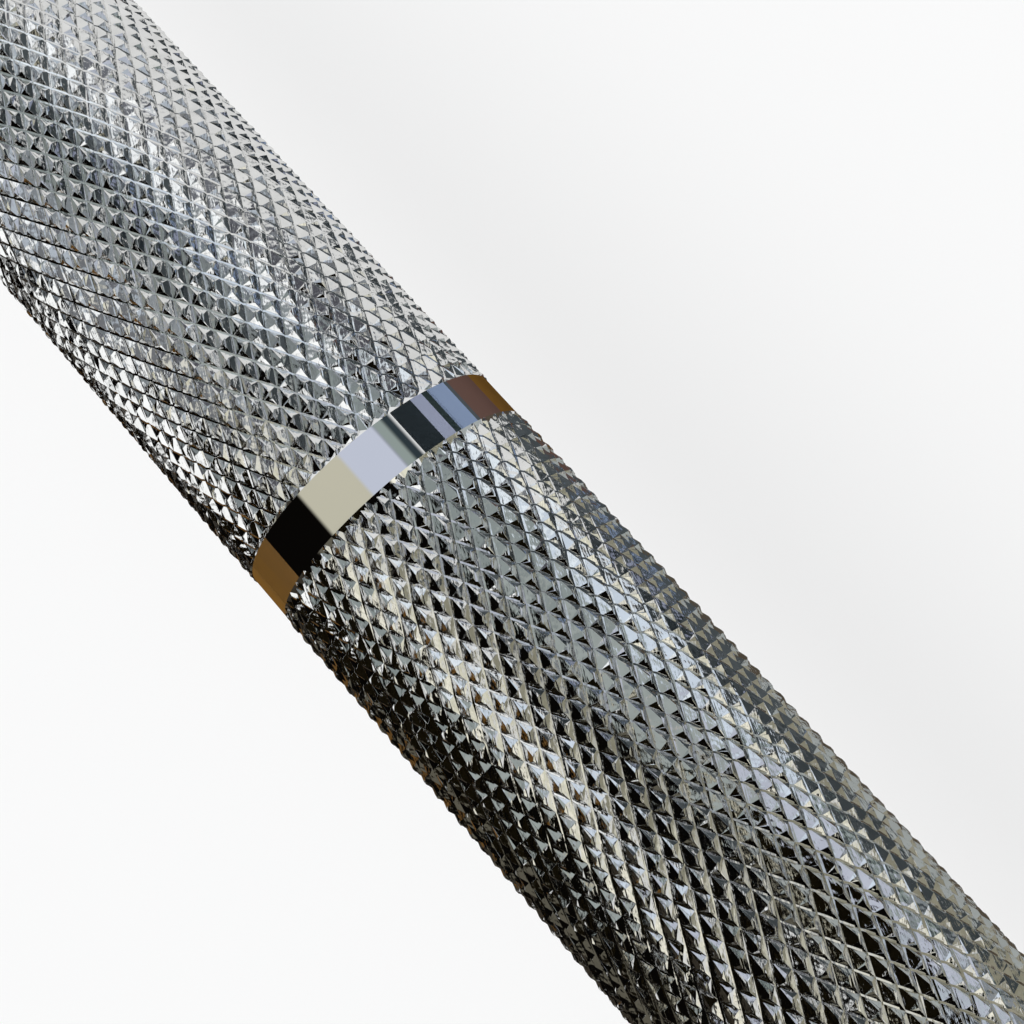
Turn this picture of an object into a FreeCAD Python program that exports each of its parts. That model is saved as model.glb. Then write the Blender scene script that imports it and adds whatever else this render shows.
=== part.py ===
"""A men's Olympic barbell: a knurled steel shaft with a turning sleeve on needle bearings at each end.

Millimetres. The bar lies along X with its axis on the origin, the middle of the grip at X = 0 and +Z up.
The right end is at +X. The left end is the same assembly, turned half a turn about Z.
"""
import FreeCAD, Part
import math
import os

Vector = FreeCAD.Vector

# Whole bar
BAR_LENGTH = 2200.0          # over the ends of both sleeves
COLLAR_SPACING = 1310.0      # between the inner faces of the two collars

# Grip, the full-diameter part of the shaft
SHAFT_D = 28.0               # the smooth stretches
KNURL_RAISE = 0.15           # how far the crests of the knurl stand out of the smooth stretches
KNURL_EDGE = 0.4             # length of the run-out at each end of a knurled band
CENTRE_KNURL_LENGTH = 120.0
GRIP_KNURL_LENGTH = 445.0    # from the collar to the inner end of the grip's knurl
KNURL_COLLAR_GAP = 12.0      # smooth stretch beside the collar
RING_FROM_COLLAR = 195.0     # from the collar to the grip mark
RING_WIDTH = 4.5             # the polished ring that marks the grip
RING_DEPTH = 0.15            # below the smooth stretches

# Journal, the stepped-down end of the shaft inside the sleeve
SHOULDER_HEIGHT = 1.5
SHOULDER_ROUND = 0.4
JOURNAL_CHAMFER = 1.2
JOURNAL_END_LAND = 3.5       # shaft left beyond the retaining ring's groove

# Sleeve
SLEEVE_D = 50.0
SLEEVE_CHAMFER_LENGTH = 4.0
SLEEVE_CHAMFER_DEPTH = 1.5
SLEEVE_ROUND = 1.0
BORE_STEP = 1.5              # height of the shoulders that the bearings seat against
MOUTH_CHAMFER = 0.8

# Collar, pressed on the inner end of the sleeve
COLLAR_D = 80.0
COLLAR_WIDTH = 30.0
FLANGE_WIDTH = 16.0          # the wide disc that stops the plates
HUB_D = 64.0
HUB_CHAMFER = 2.5
COLLAR_LIP = 6.0             # the part of the hub that closes over the sleeve's end
COLLAR_SEAT_STEP = 1.0       # how much the sleeve is turned down under the collar
COLLAR_RELIEF = 0.5          # between the collar's flat face and the sleeve, where its bore is chamfered
RIM_ROUND = 2.0
NECK_ROUND = 3.0

# Seal in the collar's lip
SEAL_WIDTH = 4.0
SEAL_HEIGHT = 4.0
SEAL_COVER = 2.0             # how far the collar reaches down over the seal
SEAL_GROOVE = 0.8            # depth and half width of the groove between its two lips
SEAL_CLEARANCE = 0.1

# Flanged bronze bush at the inner end of the sleeve
BUSH_FLANGE_WIDTH = 3.0
BUSH_FLANGE_HEIGHT = 3.0
BUSH_LENGTH = 17.0
BUSH_CHAMFER = 0.6

# Drawn-cup needle bearing
BEARING_WIDTH = 26.0
SHELL_WALL = 1.0
SHELL_ROUND = 0.8
SHELL_LIP_CLEARANCE = 0.6
NEEDLE_D = 2.5
NEEDLE_COUNT = 18
CAGE_WALL = 1.2
CAGE_RIM = 2.4
CAGE_END_CLEARANCE = 0.3
POCKET_CLEARANCE = 0.08

# Thrust washers and the retaining ring on the journal
THRUST_WASHER_WIDTH = 3.0
BACKING_WASHER_WIDTH = 2.0
BACKING_WASHER_GAP = 1.2     # between the backing washer's rim and the bore
WASHER_EDGE = 0.3
SHAFT_RING_WIDTH = 1.2
SHAFT_RING_GROOVE = 0.55     # depth of its groove
SHAFT_RING_THICK = 3.0       # radially, opposite the opening
SHAFT_RING_THIN = 1.8        # radially, beside the opening
SHAFT_RING_OPENING = 4.0
SHAFT_RING_EAR_R = 1.6
SHAFT_RING_HOLE_R = 0.7

# End cap and its retaining ring
CAP_WIDTH = 4.0
CAP_SEAT_HEIGHT = 4.0        # the cap's seat beyond the bearing bore, radially
CAP_GAP = 3.0                # between the cap and the end of the shaft
CAP_DISH_D = 27.0
CAP_DISH_DEPTH = 0.8
CAP_EDGE = 0.5
CAP_RING_WIDTH = 1.5
CAP_RING_GROOVE = 1.0        # depth of its groove
CAP_RING_LAND = 2.5          # sleeve left beyond the groove
CAP_RING_THICK = 3.4
CAP_RING_THIN = 2.2
CAP_RING_OPENING = 8.0
CAP_RING_EAR_R = 2.2
CAP_RING_HOLE_R = 1.0

# Fits
RUN_CLEARANCE = 0.03         # radial, for a journal or a roller
WASHER_CLEARANCE = 0.1       # radial, for a washer that turns on the journal
SIDE_CLEARANCE = 0.2         # along the bar, between turning faces
SEAT_CLEARANCE = 0.05        # between pieces that don't turn against each other
OVERRUN = 1.0                # of a cutting tool past what it cuts

# Radii that follow from the sizes above
SHAFT_R = SHAFT_D / 2
KNURL_R = SHAFT_R + KNURL_RAISE
RING_R = SHAFT_R - RING_DEPTH
JOURNAL_R = SHAFT_R - SHOULDER_HEIGHT
SHAFT_GROOVE_R = JOURNAL_R - SHAFT_RING_GROOVE
NEEDLE_R = NEEDLE_D / 2
NEEDLE_PITCH_R = JOURNAL_R + RUN_CLEARANCE + NEEDLE_R
RACE_R = NEEDLE_PITCH_R + NEEDLE_R + RUN_CLEARANCE
BORE_R = RACE_R + SHELL_WALL
NARROW_BORE_R = BORE_R - BORE_STEP
BUSH_FLANGE_R = BORE_R + BUSH_FLANGE_HEIGHT
SLEEVE_R = SLEEVE_D / 2
COLLAR_SEAT_R = SLEEVE_R - COLLAR_SEAT_STEP
COLLAR_R = COLLAR_D / 2
HUB_R = HUB_D / 2
SEAL_R = SHAFT_R + SEAL_CLEARANCE
SEAL_SEAT_R = SEAL_R + SEAL_HEIGHT
LIP_R = SEAL_SEAT_R - SEAL_COVER
CAP_BORE_R = BORE_R + CAP_SEAT_HEIGHT
CAP_R = CAP_BORE_R - SEAT_CLEARANCE
CAP_DISH_R = CAP_DISH_D / 2
CAP_GROOVE_R = CAP_BORE_R + CAP_RING_GROOVE

# Places of the grip's bands, from the middle of the bar outwards
COLLAR_X = COLLAR_SPACING / 2
CENTRE_KNURL_X = CENTRE_KNURL_LENGTH / 2
GRIP_KNURL_X = COLLAR_X - GRIP_KNURL_LENGTH
RING_END_X = COLLAR_X - RING_FROM_COLLAR
RING_X = RING_END_X - RING_WIDTH
GRIP_KNURL_END_X = COLLAR_X - KNURL_COLLAR_GAP

# Places inside the right sleeve, from the collar outwards
PLATE_X = COLLAR_X + COLLAR_WIDTH
FLANGE_X = PLATE_X - FLANGE_WIDTH
SLEEVE_X = COLLAR_X + COLLAR_LIP
SEAL_X = SLEEVE_X - SEAL_WIDTH
SHOULDER_X = SLEEVE_X - SIDE_CLEARANCE
BUSH_X = SLEEVE_X + BUSH_FLANGE_WIDTH
INBOARD_BEARING_X = BUSH_X + BUSH_LENGTH
INBOARD_SEAT_X = INBOARD_BEARING_X + BEARING_WIDTH

# Places inside the right sleeve, from the end of the bar inwards
BAR_END_X = BAR_LENGTH / 2
CAP_GROOVE_END_X = BAR_END_X - CAP_RING_LAND
CAP_GROOVE_X = CAP_GROOVE_END_X - CAP_RING_WIDTH - 2 * SEAT_CLEARANCE
CAP_X = CAP_GROOVE_X - CAP_WIDTH
JOURNAL_END_X = CAP_X - CAP_GAP
SHAFT_GROOVE_END_X = JOURNAL_END_X - JOURNAL_END_LAND
SHAFT_RING_X = SHAFT_GROOVE_END_X - SEAT_CLEARANCE - SHAFT_RING_WIDTH
SHAFT_GROOVE_X = SHAFT_RING_X - SEAT_CLEARANCE
BACKING_WASHER_X = SHAFT_RING_X - BACKING_WASHER_WIDTH
THRUST_WASHER_X = BACKING_WASHER_X - SIDE_CLEARANCE - THRUST_WASHER_WIDTH
OUTBOARD_BEARING_X = THRUST_WASHER_X - BEARING_WIDTH

ORIGIN = Vector(0, 0, 0)
ALONG = Vector(1, 0, 0)
UP = Vector(0, 0, 1)
FULL_TURN = 360.0
HALF_TURN = 180.0


def corner(x, r, rounding=0.0):
    """A corner of a lathe outline: its place along the bar, its radius and how much it is rounded."""
    return Vector(x, r, 0), rounding


def rounded_wire(corners):
    """A closed wire of straight runs through the corners, with a tangent arc at each rounded one."""
    starts, ends, arcs = [], [], []
    for i, (point, rounding) in enumerate(corners):
        start, end, arc = point, point, None
        if rounding > 0:
            before = (corners[i - 1][0] - point).normalize()
            after = (corners[(i + 1) % len(corners)][0] - point).normalize()
            half = before.getAngle(after) / 2
            reach = rounding / math.tan(half)
            start = point + before * reach
            end = point + after * reach
            arc = point + (before + after).normalize() * (rounding / math.sin(half) - rounding)
        starts.append(start)
        ends.append(end)
        arcs.append(arc)
    edges = []
    for i, arc in enumerate(arcs):
        if arc is not None:
            edges.append(Part.Arc(starts[i], arc, ends[i]).toShape())
        following = starts[(i + 1) % len(starts)]
        edges.append(Part.LineSegment(ends[i], following).toShape())
    return Part.Wire(edges)


def lathe(corners):
    """The solid that the outline sweeps in one turn about the bar's axis."""
    return Part.Face(rounded_wire(corners)).revolve(ORIGIN, ALONG, FULL_TURN)


def bevelled_ring(x, width, inner_r, outer_r, edge):
    """A flat ring with its four edges bevelled."""
    end = x + width
    return lathe([
        corner(x, inner_r + edge), corner(x + edge, inner_r),
        corner(end - edge, inner_r), corner(end, inner_r + edge),
        corner(end, outer_r - edge), corner(end - edge, outer_r),
        corner(x + edge, outer_r), corner(x, outer_r - edge),
    ])


def disc(x, width, r, y=0.0, z=0.0):
    """A cylinder along the bar."""
    return Part.makeCylinder(r, width, Vector(x, y, z), ALONG)


def shaft():
    """The shaft, turned from one bar: knurled bands, grip marks and a journal at each end."""
    half = [
        corner(CENTRE_KNURL_X - KNURL_EDGE, KNURL_R), corner(CENTRE_KNURL_X, SHAFT_R),
        corner(GRIP_KNURL_X, SHAFT_R), corner(GRIP_KNURL_X + KNURL_EDGE, KNURL_R),
        corner(RING_X - KNURL_EDGE, KNURL_R), corner(RING_X, RING_R),
        corner(RING_END_X, RING_R), corner(RING_END_X + KNURL_EDGE, KNURL_R),
        corner(GRIP_KNURL_END_X - KNURL_EDGE, KNURL_R), corner(GRIP_KNURL_END_X, SHAFT_R),
        corner(SHOULDER_X, SHAFT_R), corner(SHOULDER_X, JOURNAL_R, SHOULDER_ROUND),
        corner(SHAFT_GROOVE_X, JOURNAL_R), corner(SHAFT_GROOVE_X, SHAFT_GROOVE_R),
        corner(SHAFT_GROOVE_END_X, SHAFT_GROOVE_R), corner(SHAFT_GROOVE_END_X, JOURNAL_R),
        corner(JOURNAL_END_X - JOURNAL_CHAMFER, JOURNAL_R),
        corner(JOURNAL_END_X, JOURNAL_R - JOURNAL_CHAMFER), corner(JOURNAL_END_X, 0),
    ]
    other_half = [corner(-point.x, point.y, rounding) for point, rounding in reversed(half)]
    return lathe(other_half + half)


def sleeve():
    """The tube that carries the plates, bored for the bearings from both ends and for the cap."""
    return lathe([
        corner(SLEEVE_X, BUSH_FLANGE_R), corner(SLEEVE_X, COLLAR_SEAT_R),
        corner(PLATE_X, COLLAR_SEAT_R), corner(PLATE_X, SLEEVE_R),
        corner(BAR_END_X - SLEEVE_CHAMFER_LENGTH, SLEEVE_R, SLEEVE_ROUND),
        corner(BAR_END_X, SLEEVE_R - SLEEVE_CHAMFER_DEPTH, SLEEVE_ROUND),
        corner(BAR_END_X, CAP_BORE_R + MOUTH_CHAMFER), corner(BAR_END_X - MOUTH_CHAMFER, CAP_BORE_R),
        corner(CAP_GROOVE_END_X, CAP_BORE_R), corner(CAP_GROOVE_END_X, CAP_GROOVE_R),
        corner(CAP_GROOVE_X, CAP_GROOVE_R), corner(CAP_GROOVE_X, CAP_BORE_R),
        corner(CAP_X, CAP_BORE_R), corner(CAP_X, BORE_R),
        corner(OUTBOARD_BEARING_X, BORE_R), corner(OUTBOARD_BEARING_X, NARROW_BORE_R),
        corner(INBOARD_SEAT_X, NARROW_BORE_R), corner(INBOARD_SEAT_X, BORE_R),
        corner(BUSH_X, BORE_R), corner(BUSH_X, BUSH_FLANGE_R),
    ])


def collar():
    """The stop for the plates, with a hub whose lip closes over the sleeve's end and holds the seal."""
    mouth = COLLAR_SEAT_STEP + COLLAR_RELIEF
    return lathe([
        corner(COLLAR_X, LIP_R), corner(COLLAR_X, HUB_R - HUB_CHAMFER),
        corner(COLLAR_X + HUB_CHAMFER, HUB_R), corner(FLANGE_X, HUB_R, NECK_ROUND),
        corner(FLANGE_X, COLLAR_R, RIM_ROUND), corner(PLATE_X, COLLAR_R, RIM_ROUND),
        corner(PLATE_X, COLLAR_SEAT_R + mouth), corner(PLATE_X - mouth, COLLAR_SEAT_R),
        corner(SLEEVE_X, COLLAR_SEAT_R), corner(SLEEVE_X, SEAL_SEAT_R),
        corner(SEAL_X, SEAL_SEAT_R), corner(SEAL_X, LIP_R),
    ])


def shaft_seal():
    """A rubber ring with two lips that keeps dirt out and grease in."""
    middle = (SEAL_X + SLEEVE_X) / 2
    return lathe([
        corner(SEAL_X, SEAL_R), corner(middle - SEAL_GROOVE, SEAL_R),
        corner(middle, SEAL_R + SEAL_GROOVE), corner(middle + SEAL_GROOVE, SEAL_R),
        corner(SLEEVE_X, SEAL_R), corner(SLEEVE_X, SEAL_SEAT_R), corner(SEAL_X, SEAL_SEAT_R),
    ])


def flanged_bush():
    """The bush whose flange meets the shaft's shoulder when the sleeve is pushed inwards."""
    inner_r = JOURNAL_R + RUN_CLEARANCE
    return lathe([
        corner(SLEEVE_X, inner_r + BUSH_CHAMFER), corner(SLEEVE_X, BUSH_FLANGE_R),
        corner(BUSH_X, BUSH_FLANGE_R), corner(BUSH_X, BORE_R),
        corner(INBOARD_BEARING_X, BORE_R), corner(INBOARD_BEARING_X, inner_r),
        corner(SLEEVE_X + BUSH_CHAMFER, inner_r),
    ])


def bearing_shell(x):
    """The drawn cup of a needle bearing, with both ends turned in."""
    end = x + BEARING_WIDTH
    lip_r = JOURNAL_R + SHELL_LIP_CLEARANCE
    return lathe([
        corner(x, lip_r), corner(x, BORE_R, SHELL_ROUND),
        corner(end, BORE_R, SHELL_ROUND), corner(end, lip_r),
        corner(end - SHELL_WALL, lip_r), corner(end - SHELL_WALL, RACE_R),
        corner(x + SHELL_WALL, RACE_R), corner(x + SHELL_WALL, lip_r),
    ])


def around(solid, count):
    """Copies of a solid, evenly spaced around the bar."""
    copies = []
    for i in range(count):
        copy = solid.copy()
        copy.rotate(ORIGIN, ALONG, FULL_TURN * i / count)
        copies.append(copy)
    return Part.makeCompound(copies)


def needle_cage(x):
    """The cage of a needle bearing, with a round-sided pocket for each needle."""
    start = x + SHELL_WALL + CAGE_END_CLEARANCE
    width = BEARING_WIDTH - 2 * (SHELL_WALL + CAGE_END_CLEARANCE)
    band = disc(start, width, NEEDLE_PITCH_R + CAGE_WALL / 2)
    band = band.cut(disc(start - OVERRUN, width + 2 * OVERRUN, NEEDLE_PITCH_R - CAGE_WALL / 2))
    pocket = disc(start + CAGE_RIM, width - 2 * CAGE_RIM, NEEDLE_R + POCKET_CLEARANCE, NEEDLE_PITCH_R)
    return band.cut(around(pocket, NEEDLE_COUNT))


def needles(x):
    """The needles of one bearing, each in its pocket."""
    inset = SHELL_WALL + CAGE_END_CLEARANCE + CAGE_RIM + POCKET_CLEARANCE
    return around(disc(x + inset, BEARING_WIDTH - 2 * inset, NEEDLE_R, NEEDLE_PITCH_R), NEEDLE_COUNT)


def thrust_washer():
    """The bronze washer that turns with the sleeve."""
    inner_r = JOURNAL_R + WASHER_CLEARANCE
    return bevelled_ring(THRUST_WASHER_X, THRUST_WASHER_WIDTH, inner_r, BORE_R - SEAT_CLEARANCE, WASHER_EDGE)


def backing_washer():
    """The steel washer between the bronze one and the retaining ring."""
    inner_r = JOURNAL_R + SEAT_CLEARANCE
    outer_r = BORE_R - BACKING_WASHER_GAP
    return bevelled_ring(BACKING_WASHER_X, BACKING_WASHER_WIDTH, inner_r, outer_r, WASHER_EDGE)


def open_ring(x, width, blank, opening, ear_reach, ear_r, hole_r):
    """A retaining ring with its opening at the bottom and a drilled ear on each side of it."""
    side = opening / 2 + ear_r
    drop = -math.sqrt(ear_reach ** 2 - side ** 2)
    for y in (-side, side):
        blank = blank.fuse(disc(x, width, ear_r, y, drop))
    for y in (-side, side):
        blank = blank.cut(disc(x - OVERRUN, width + 2 * OVERRUN, hole_r, y, drop))
    depth = ear_reach + 2 * ear_r
    slot = Part.makeBox(width + 2 * OVERRUN, opening, depth, Vector(x - OVERRUN, -opening / 2, -depth))
    return blank.cut(slot).removeSplitter()


def shaft_retaining_ring():
    """The ring in the shaft's groove, which keeps the sleeve on."""
    inner_r = SHAFT_GROOVE_R + SEAT_CLEARANCE
    lift = (SHAFT_RING_THICK - SHAFT_RING_THIN) / 2
    blank = disc(SHAFT_RING_X, SHAFT_RING_WIDTH, inner_r + SHAFT_RING_THIN + lift, 0, lift)
    hole = disc(SHAFT_RING_X - OVERRUN, SHAFT_RING_WIDTH + 2 * OVERRUN, inner_r)
    ring = open_ring(SHAFT_RING_X, SHAFT_RING_WIDTH, blank, SHAFT_RING_OPENING,
                     inner_r + SHAFT_RING_THIN, SHAFT_RING_EAR_R, SHAFT_RING_HOLE_R)
    return ring.cut(hole)


def end_cap():
    """The disc that closes the sleeve, with a shallow dish in its outer face."""
    floor_x = CAP_GROOVE_X - CAP_DISH_DEPTH
    return lathe([
        corner(CAP_X, 0), corner(CAP_X, CAP_R - CAP_EDGE), corner(CAP_X + CAP_EDGE, CAP_R),
        corner(CAP_GROOVE_X - CAP_EDGE, CAP_R), corner(CAP_GROOVE_X, CAP_R - CAP_EDGE),
        corner(CAP_GROOVE_X, CAP_DISH_R), corner(floor_x, CAP_DISH_R - CAP_DISH_DEPTH),
        corner(floor_x, 0),
    ])


def cap_retaining_ring():
    """The ring in the sleeve's groove, which keeps the cap in."""
    x = CAP_GROOVE_X + SEAT_CLEARANCE
    outer_r = CAP_GROOVE_R - SEAT_CLEARANCE
    drop = (CAP_RING_THICK - CAP_RING_THIN) / 2
    blank = disc(x, CAP_RING_WIDTH, outer_r)
    hole_r = outer_r - CAP_RING_THIN - drop
    blank = blank.cut(disc(x - OVERRUN, CAP_RING_WIDTH + 2 * OVERRUN, hole_r, 0, -drop))
    return open_ring(x, CAP_RING_WIDTH, blank, CAP_RING_OPENING,
                     outer_r - CAP_RING_THIN, CAP_RING_EAR_R, CAP_RING_HOLE_R)


def right_end():
    """Every piece of the right end, by name."""
    pieces = {
        "sleeve": sleeve(),
        "collar": collar(),
        "shaft_seal": shaft_seal(),
        "flanged_bush": flanged_bush(),
        "thrust_washer": thrust_washer(),
        "backing_washer": backing_washer(),
        "shaft_retaining_ring": shaft_retaining_ring(),
        "end_cap": end_cap(),
        "cap_retaining_ring": cap_retaining_ring(),
    }
    for place, x in (("inboard", INBOARD_BEARING_X), ("outboard", OUTBOARD_BEARING_X)):
        pieces[place + "_bearing_shell"] = bearing_shell(x)
        pieces[place + "_needle_cage"] = needle_cage(x)
        pieces[place + "_needles"] = needles(x)
    return pieces


def main():
    """Writes the shaft, and the pieces of both ends."""
    os.makedirs("parts", exist_ok=True)
    shaft().exportStep("parts/shaft.step")
    for name, piece in right_end().items():
        piece.exportStep(f"parts/right_{name}.step")
        piece.rotate(ORIGIN, UP, HALF_TURN)
        piece.exportStep(f"parts/left_{name}.step")


main()
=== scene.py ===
import math

import bmesh
import bpy
import numpy as np
from mathutils import Matrix, Vector
from mathutils.geometry import tessellate_polygon


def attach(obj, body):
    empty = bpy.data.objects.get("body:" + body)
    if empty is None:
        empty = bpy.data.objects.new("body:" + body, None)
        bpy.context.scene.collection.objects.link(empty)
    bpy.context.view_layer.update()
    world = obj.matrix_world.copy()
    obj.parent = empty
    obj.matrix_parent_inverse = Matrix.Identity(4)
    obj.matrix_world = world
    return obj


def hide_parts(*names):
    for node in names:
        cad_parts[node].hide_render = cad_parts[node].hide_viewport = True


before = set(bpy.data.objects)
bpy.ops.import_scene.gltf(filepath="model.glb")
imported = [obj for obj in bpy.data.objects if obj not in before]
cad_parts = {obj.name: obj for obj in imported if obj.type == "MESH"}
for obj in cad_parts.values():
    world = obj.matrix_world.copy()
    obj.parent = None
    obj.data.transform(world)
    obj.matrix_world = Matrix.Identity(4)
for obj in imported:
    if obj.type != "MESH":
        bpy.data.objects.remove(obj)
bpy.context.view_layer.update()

# Lengths in this script are in millimetres until a mesh is written, which is in metres.
MM = 0.001
SIDES = {"left": -1.0, "right": 1.0}
SEED = 28

# How finely round pieces are divided, and the angle in degrees up to which an edge looks smooth.
SHAFT_SEGMENTS = 160
RING_SEGMENTS = 256
END_SEGMENTS = 192
ARC_STEPS = 7
CLIP_OUTER_STEPS = 96
CLIP_INNER_STEPS = 160
CLIP_HOLE_STEPS = 32
SMOOTH_UP_TO = 25.0

# Shaft: grip zones along the right half, mirrored on the left.
SHAFT_R = 14.0
CENTRE_KNURL_X = 60.0
GRIP_START_X = 210.0
RING_START_X = 455.5
RING_END_X = 460.0
GRIP_END_X = 643.0
SHOULDER_X = 660.8
JOURNAL_R = 12.5
JOURNAL_END_X = 1088.9
JOURNAL_CHAMFER = 1.2
CLIP_GROOVE_X = (1084.1, 1085.4)
CLIP_GROOVE_R = 11.95

# The polished mark ring, flush with the knurl, and how far it reaches under the knurl and falls there.
RING_R = 13.98
RING_RUN_OUT = (0.6, 0.38)
RING_X = (RING_START_X + RING_END_X) / 2

# Sleeve, its bores and the end cap, on the right half.
SLEEVE_X = 661.0
SLEEVE_R = 25.0
SLEEVE_SEAT_R = 24.0
BAR_END_X = 1100.0
SLEEVE_TAPER = 4.0
SLEEVE_TAPER_DEPTH = 1.5
SLEEVE_ROUND = 1.0
BUSH_X = 664.0
BUSH_R = 19.06
BORE_R = 16.06
NARROW_R = 14.56
NARROW_X = (707.0, 1052.95)
CAP_X = (1091.9, 1095.9)
CAP_R = 20.01
CAP_BORE_R = 20.06
CAP_EDGE = 0.5
CAP_DISH_R = 13.5
CAP_DISH = 0.8
CAP_GROOVE_END_X = 1097.5
CAP_GROOVE_R = 21.06
MOUTH = 0.8
CLIP_X = (1095.95, 1097.45)
CLIP_R = 21.01
CLIP_THIN = 2.2
CLIP_THICK = 3.4
CLIP_EAR_R = 2.2
CLIP_HOLE_R = 1.0
CLIP_OPENING = 8.0

# Collar and the seal in its lip.
COLLAR_X = 655.0
FLANGE_X = 669.0
PLATE_X = 685.0
COLLAR_R = 40.0
HUB_R = 32.0
HUB_CHAMFER = 2.5
NECK_ROUND = 3.0
RIM_ROUND = 2.0
COLLAR_MOUTH = 1.5
LIP_R = 16.1
SEAL_X = 657.0
SEAL_R = 14.1
SEAL_SEAT_R = 18.1
SEAL_GROOVE = 0.8

# Knurl: two families of grooves that cross, the first one deeper. A ridge between two deep grooves has
# a lip, a rolled seam and a higher lip. Each has its place across the cell, from 0 to 1, and its height.
KNURL_STARTS = 52
KNURL_REPEAT = 2.975
KNURL_CREST_R = 14.14
LIP_1 = 0.30
LIP_1_H = 0.375
SEAM = 0.36
SEAM_H = 0.345
LIP_2 = 0.44
LIP_2_H = 0.49
# The cross groove's bottom. The walls of two neighbours would meet CROSS_RISE above it, at CROSS_TOP of the
# way between them.
CROSS_H = 0.09
CROSS_RISE = 0.50
CROSS_TOP = 0.55
# Seeded differences between cells, in shares of a cell and in height, with their limit in deviations.
CELL_JITTER = 0.022
HEIGHT_JITTER = 0.018
JITTER_LIMIT = 2.0
# Cells made beyond each end, which is then cut off square.
SPARE_CELLS = 2
# How near to that cut a point counts as on it, in metres.
ON_CUT = 1e-7
# Which of the three finishes each polygon of a cell has: deep groove, torn ridge or cross groove.
KNURL_FINISH = (0, 0, 0, 0, 1, 1, 2, 2)

# Finish of the knurl: tones, roughness, scales of its noises and their shares in the relief. Streaks are
# finer across one groove family than across the other.
KNURL_TONES = ((0.62, 0.62, 0.61), (0.72, 0.72, 0.71))
KNURL_ROUGH = (0.02, 0.07)
STREAK_SCALE = 1.0
DEEP_STREAKS = (8.0, 1.6, 1.0)
TORN_STREAKS = (11.0, 1.6, 1.0)
CROSS_STREAKS = (1.6, 8.0, 1.0)
STREAK_DEPTH = 0.018
TORN_DEPTH = 0.022
SWELL_SCALE = 2.3
SWELL_DETAIL = 1.0
SWELL_SHARE = 2.5
GRIT_SCALE = 12000.0
GRIT_SHARE = 0.12
CLOUD_SCALE = 500.0
EDGE_ROUND = 0.02
EDGE_SAMPLES = 4
# The thin polished line along the bottom of a cross groove: half its width and its soft edge, in cells.
CROSS_LINE = 0.04
CROSS_LINE_SOFT = 0.03

# Noise in all finishes: the part of its range that is used, its detail, and the scale of clouds to grain.
NOISE_SPAN = (0.3, 0.7)
CLOUD_DETAIL = 3.0
FINE_DETAIL = 4.0
CLOUD_SHARE = 0.12
# Stretch of the noise: the same all ways, or drawn out into the rings that turning leaves.
EVEN = (1.0, 1.0, 1.0)
TURNED = (6.0, 0.4, 0.4)

# Camera, measured about the shaft's axis from the direction that faces it. Its clip range is in metres.
CAMERA_LIFT = math.radians(60.0)
CAMERA_DISTANCE = 99.03
CAMERA_PAST_RING = 24.84
CAMERA_LENS = 38.67
CAMERA_SENSOR = 36.0
CAMERA_CLIP = (0.01, 100.0)
CAMERA_RIGHT = (0.664, -0.054, -0.745)
CAMERA_DOWN = (0.729, -0.172, 0.662)
AXIS = Vector((1.0, 0.0, 0.0))
FACING = Vector((0.0, math.cos(CAMERA_LIFT), math.sin(CAMERA_LIFT)))
ACROSS = AXIS.cross(FACING)

# Two dark flags that only the metal sees: their tones and their cloth.
FLAG_BROWN = ((0.008, 0.006, 0.0025), (0.012, 0.009, 0.004))
FLAG_BLACK = ((0.002, 0.002, 0.002), (0.004, 0.004, 0.004))
FLAG_ROUGH = (0.8, 0.9)
FLAG_GRAIN = 40.0

# The first flag, beside the lens: how far behind it, and its corners right of and below the lens.
FLAG_BEHIND = 4.0
FLAG_OUTLINE = (
    (22.0, -8.0),
    (22.0, 150.0),
    (-150.0, 150.0),
    (-150.0, 92.0),
    (-60.0, 84.0),
    (-36.0, 66.0),
    (-36.0, 5.0),
    (-28.0, -8.0),
)

# The second flag, further back: its distance from the shaft, and its corners (past ring, to the left).
SECOND_FLAG_OUT = 200.0
SECOND_FLAG = (
    (-50.0, 110.0),
    (-17.0, 110.0),
    (-20.0, 200.0),
    (-40.0, 330.0),
    (-70.0, 450.0),
    (-115.0, 450.0),
    (-93.0, 330.0),
    (-63.0, 200.0),
)

# Tones of the cards that only the metal sees, each from a dark to a light one.
TIMBER = ((0.16, 0.072, 0.006), (0.22, 0.10, 0.011))
DUSK = ((0.030, 0.022, 0.012), (0.045, 0.033, 0.018))
RUSSET = ((0.10, 0.053, 0.042), (0.14, 0.074, 0.058))
NAVY = ((0.012, 0.022, 0.030), (0.020, 0.032, 0.040))
LAVENDER = ((0.38, 0.42, 0.58), (0.44, 0.48, 0.65))
PINE = ((0.02, 0.04, 0.04), (0.03, 0.05, 0.05))
BLUE = ((0.22, 0.29, 0.45), (0.26, 0.34, 0.51))
HAZE = ((0.40, 0.43, 0.43), (0.48, 0.51, 0.50))
STRAW = ((0.34, 0.32, 0.24), (0.42, 0.39, 0.30))
SLATE = ((0.05, 0.063, 0.070), (0.075, 0.09, 0.10))
LINEN = ((0.40, 0.38, 0.28), (0.46, 0.44, 0.33))
UMBER = ((0.08, 0.06, 0.04), (0.12, 0.09, 0.06))
CARD_ROUGH = (0.7, 0.9)
CARD_GRAIN = 12.0

# Cards lie at two heights just over the floor, so that those that overlap don't touch.
FLOOR_Z = -40.0
LOWER_Z = -39.6
UPPER_Z = -39.4

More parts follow.
